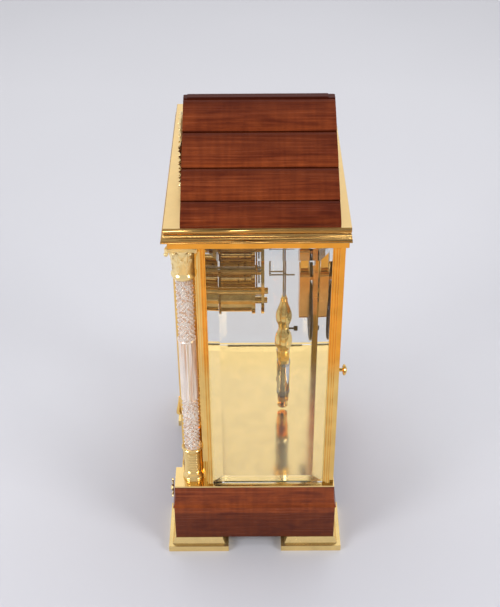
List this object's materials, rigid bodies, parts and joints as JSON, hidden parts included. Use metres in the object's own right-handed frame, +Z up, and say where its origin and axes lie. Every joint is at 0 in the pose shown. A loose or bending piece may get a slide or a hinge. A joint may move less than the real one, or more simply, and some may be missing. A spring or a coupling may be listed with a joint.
{
  "type": "mantel clock",
  "caption": "Four glass mantel clock: wood base and pediment roof, crystal corner columns, glazed sides and doors, striking movement, twin-jar pendulum and coil gong.",
  "frame": {"origin": "on the table, under the middle of the four feet", "axes": "+Z up, the dial and the front door face -Y, +X is to the right of a viewer in front"},
  "size_m": [0.23, 0.161, 0.411],
  "materials": {
    "feet": "polished gilt",
    "foot_screws": "satin",
    "wood_base": "polished mahogany",
    "block_mounts": "polished gilt",
    "base_plate": "polished",
    "case_posts": "polished",
    "side_glasses": "clear",
    "front_frame": "polished",
    "hinge_pins": "satin",
    "column_bases": "polished gilt",
    "crystal_columns": "clear",
    "column_capitals": "polished gilt",
    "frieze": "polished gilt",
    "cornice": "polished gilt",
    "roof_slopes": "polished mahogany",
    "roof_gables": "polished mahogany",
    "roof_ridge": "polished mahogany",
    "pediment_mount": "polished gilt",
    "movement_hanger": "polished",
    "dial": "white enamel",
    "dial_bezel": "polished gilt",
    "movement_front_plate": "polished",
    "movement_back_plate": "polished",
    "movement_pillars": "polished",
    "gong_stand": "polished",
    "gong_screws": "blued",
    "coil_gong": "blued",
    "front_door": "polished",
    "front_door_glass": "clear",
    "door_mounts": "polished gilt",
    "front_door_knob": "polished",
    "back_door": "polished",
    "back_door_glass": "clear",
    "back_door_knob": "polished",
    "cannon_pinion": "satin",
    "minute_hand": "blued",
    "hour_wheel": "polished",
    "hour_hand": "blued",
    "minute_wheel": "polished",
    "centre_arbor": "polished",
    "going_barrel": "polished",
    "going_arbor": "satin",
    "going_click": "satin",
    "intermediate_wheel": "polished",
    "third_wheel": "polished",
    "escape_wheel": "polished",
    "anchor": "satin",
    "strike_barrel": "polished",
    "strike_arbor": "satin",
    "strike_click": "satin",
    "pin_wheel": "polished",
    "fly": "polished",
    "hammer": "satin",
    "suspension_spring": "satin",
    "pendulum_rod": "satin",
    "pendulum_ornament": "polished gilt",
    "pendulum_jars": "polished",
    "jar_stirrup": "polished gilt",
    "rating_nut": "polished gilt",
    "pendulum_adjuster": "blued"
  },
  "bodies": {
    "case": {"feet": "feet", "foot_screws": "foot_screws", "wood_base": "wood_base", "block_mounts": "block_mounts", "base_plate": "base_plate", "case_posts": "case_posts", "side_glasses": "side_glasses", "front_frame": "front_frame", "hinge_pins": "hinge_pins", "column_bases": "column_bases", "crystal_columns": "crystal_columns", "column_capitals": "column_capitals", "frieze": "frieze", "cornice": "cornice", "roof_slopes": "roof_slopes", "roof_gables": "roof_gables", "roof_ridge": "roof_ridge", "pediment_mount": "pediment_mount", "movement_hanger": "movement_hanger", "dial": "dial", "dial_bezel": "dial_bezel", "movement_front_plate": "movement_front_plate", "movement_back_plate": "movement_back_plate", "movement_pillars": "movement_pillars", "gong_stand": "gong_stand", "gong_screws": "gong_screws", "coil_gong": "coil_gong"},
    "front_door": {"front_door": "front_door", "front_door_glass": "front_door_glass", "door_mounts": "door_mounts"},
    "front_knob": {"front_door_knob": "front_door_knob"},
    "back_door": {"back_door": "back_door", "back_door_glass": "back_door_glass"},
    "back_knob": {"back_door_knob": "back_door_knob"},
    "minute_train": {"cannon_pinion": "cannon_pinion", "minute_hand": "minute_hand"},
    "hour_train": {"hour_wheel": "hour_wheel", "hour_hand": "hour_hand"},
    "minute_wheel": {"minute_wheel": "minute_wheel"},
    "centre": {"centre_arbor": "centre_arbor"},
    "going_barrel": {"going_barrel": "going_barrel"},
    "going_arbor": {"going_arbor": "going_arbor"},
    "going_click": {"going_click": "going_click"},
    "intermediate": {"intermediate_wheel": "intermediate_wheel"},
    "third": {"third_wheel": "third_wheel"},
    "escape": {"escape_wheel": "escape_wheel"},
    "anchor": {"anchor": "anchor"},
    "strike_barrel": {"strike_barrel": "strike_barrel"},
    "strike_arbor": {"strike_arbor": "strike_arbor"},
    "strike_click": {"strike_click": "strike_click"},
    "pin_wheel": {"pin_wheel": "pin_wheel"},
    "fly": {"fly": "fly"},
    "hammer": {"hammer": "hammer"},
    "pendulum": {"suspension_spring": "suspension_spring", "pendulum_rod": "pendulum_rod", "pendulum_ornament": "pendulum_ornament", "pendulum_jars": "pendulum_jars", "jar_stirrup": "jar_stirrup"},
    "rating_nut": {"rating_nut": "rating_nut"},
    "adjuster": {"pendulum_adjuster": "pendulum_adjuster"}
  },
  "joints": [
    {"name": "front_door_hinge", "type": "hinge", "parent": "case", "child": "front_door", "pos_m": [0.0741, -0.06305, 0.0779], "axis": [0, 0, 1], "range_deg": [0, 90]},
    {"name": "front_knob_turn", "type": "hinge", "parent": "front_door", "child": "front_knob", "pos_m": [-0.07235, -0.0658, 0.205], "axis": [0, -1, 0], "range_deg": [0, 90]},
    {"name": "back_door_hinge", "type": "hinge", "parent": "case", "child": "back_door", "pos_m": [-0.1017, 0.0695, 0.0779], "axis": [0, 0, 1], "range_deg": [0, 110]},
    {"name": "back_knob_turn", "type": "hinge", "parent": "back_door", "child": "back_knob", "pos_m": [0.09685, 0.0713, 0.205], "axis": [0, 1, 0], "range_deg": [0, 90]},
    {"name": "minute_hand_turn", "type": "hinge", "parent": "case", "child": "minute_train", "pos_m": [0, 0, 0.245], "axis": [0, 1, 0], "continuous": true},
    {"name": "hour_hand_turn", "type": "hinge", "parent": "case", "child": "hour_train", "pos_m": [0, 0, 0.245], "axis": [0, 1, 0], "continuous": true},
    {"name": "minute_wheel_turn", "type": "hinge", "parent": "case", "child": "minute_wheel", "pos_m": [-0.00226, 0, 0.2578], "axis": [0, 1, 0], "continuous": true},
    {"name": "centre_turn", "type": "hinge", "parent": "case", "child": "centre", "pos_m": [0, 0, 0.245], "axis": [0, 1, 0], "continuous": true},
    {"name": "going_barrel_turn", "type": "hinge", "parent": "case", "child": "going_barrel", "pos_m": [0.018, 0, 0.229], "axis": [0, 1, 0], "continuous": true},
    {"name": "intermediate_turn", "type": "hinge", "parent": "case", "child": "intermediate", "pos_m": [0.016, 0, 0.2496], "axis": [0, 1, 0], "continuous": true},
    {"name": "third_turn", "type": "hinge", "parent": "case", "child": "third", "pos_m": [-0.0088, 0, 0.2587], "axis": [0, 1, 0], "continuous": true},
    {"name": "escape_turn", "type": "hinge", "parent": "case", "child": "escape", "pos_m": [0, 0, 0.266], "axis": [0, 1, 0], "continuous": true},
    {"name": "going_winding", "type": "hinge", "parent": "case", "child": "going_arbor", "pos_m": [0.018, 0, 0.229], "axis": [0, 1, 0], "continuous": true},
    {"name": "going_click_lift", "type": "hinge", "parent": "case", "child": "going_click", "pos_m": [0.027, 0, 0.2405], "axis": [0, 1, 0], "range_deg": [0, 20]},
    {"name": "strike_barrel_turn", "type": "hinge", "parent": "case", "child": "strike_barrel", "pos_m": [-0.018, 0, 0.229], "axis": [0, 1, 0], "continuous": true},
    {"name": "pin_wheel_turn", "type": "hinge", "parent": "case", "child": "pin_wheel", "pos_m": [-0.027, 0, 0.2476], "axis": [0, 1, 0], "continuous": true},
    {"name": "fly_turn", "type": "hinge", "parent": "case", "child": "fly", "pos_m": [-0.0205, 0, 0.2595], "axis": [0, 1, 0], "continuous": true},
    {"name": "strike_winding", "type": "hinge", "parent": "case", "child": "strike_arbor", "pos_m": [-0.018, 0, 0.229], "axis": [0, 1, 0], "continuous": true},
    {"name": "strike_click_lift", "type": "hinge", "parent": "case", "child": "strike_click", "pos_m": [-0.027, 0, 0.2405], "axis": [0, 1, 0], "range_deg": [-20, 0]},
    {"name": "hammer_lift", "type": "hinge", "parent": "case", "child": "hammer", "pos_m": [-0.027, 0, 0.266], "axis": [0, 1, 0], "range_deg": [0, 20]},
    {"name": "pendulum_swing", "type": "hinge", "parent": "case", "child": "pendulum", "pos_m": [0, 0.028, 0.2805], "axis": [0, 1, 0], "range_deg": [-3, 3]},
    {"name": "anchor_swing", "type": "hinge", "parent": "case", "child": "anchor", "pos_m": [0, 0, 0.2805], "axis": [0, 1, 0], "range_deg": [-3, 3]},
    {"name": "rating_nut_turn", "type": "hinge", "parent": "pendulum", "child": "rating_nut", "pos_m": [0, 0.028, 0.0823], "axis": [0, 0, 1], "continuous": true},
    {"name": "adjuster_turn", "type": "hinge", "parent": "pendulum", "child": "adjuster", "pos_m": [0, 0.0373, 0.17688], "axis": [0, 1, 0], "continuous": true}
  ],
  "couplings": [
    {"joint": "hour_hand_turn", "follows": "minute_hand_turn", "ratio": 0.083333},
    {"joint": "minute_wheel_turn", "follows": "minute_hand_turn", "ratio": -0.33333},
    {"joint": "third_turn", "follows": "escape_turn", "ratio": -0.074074},
    {"joint": "centre_turn", "follows": "escape_turn", "ratio": 0.0074074},
    {"joint": "intermediate_turn", "follows": "escape_turn", "ratio": -0.0010582},
    {"joint": "going_barrel_turn", "follows": "escape_turn", "ratio": 0.00015117},
    {"joint": "pin_wheel_turn", "follows": "fly_turn", "ratio": -0.090909},
    {"joint": "strike_barrel_turn", "follows": "fly_turn", "ratio": 0.012987},
    {"joint": "anchor_swing", "follows": "pendulum_swing", "ratio": 1}
  ]
}
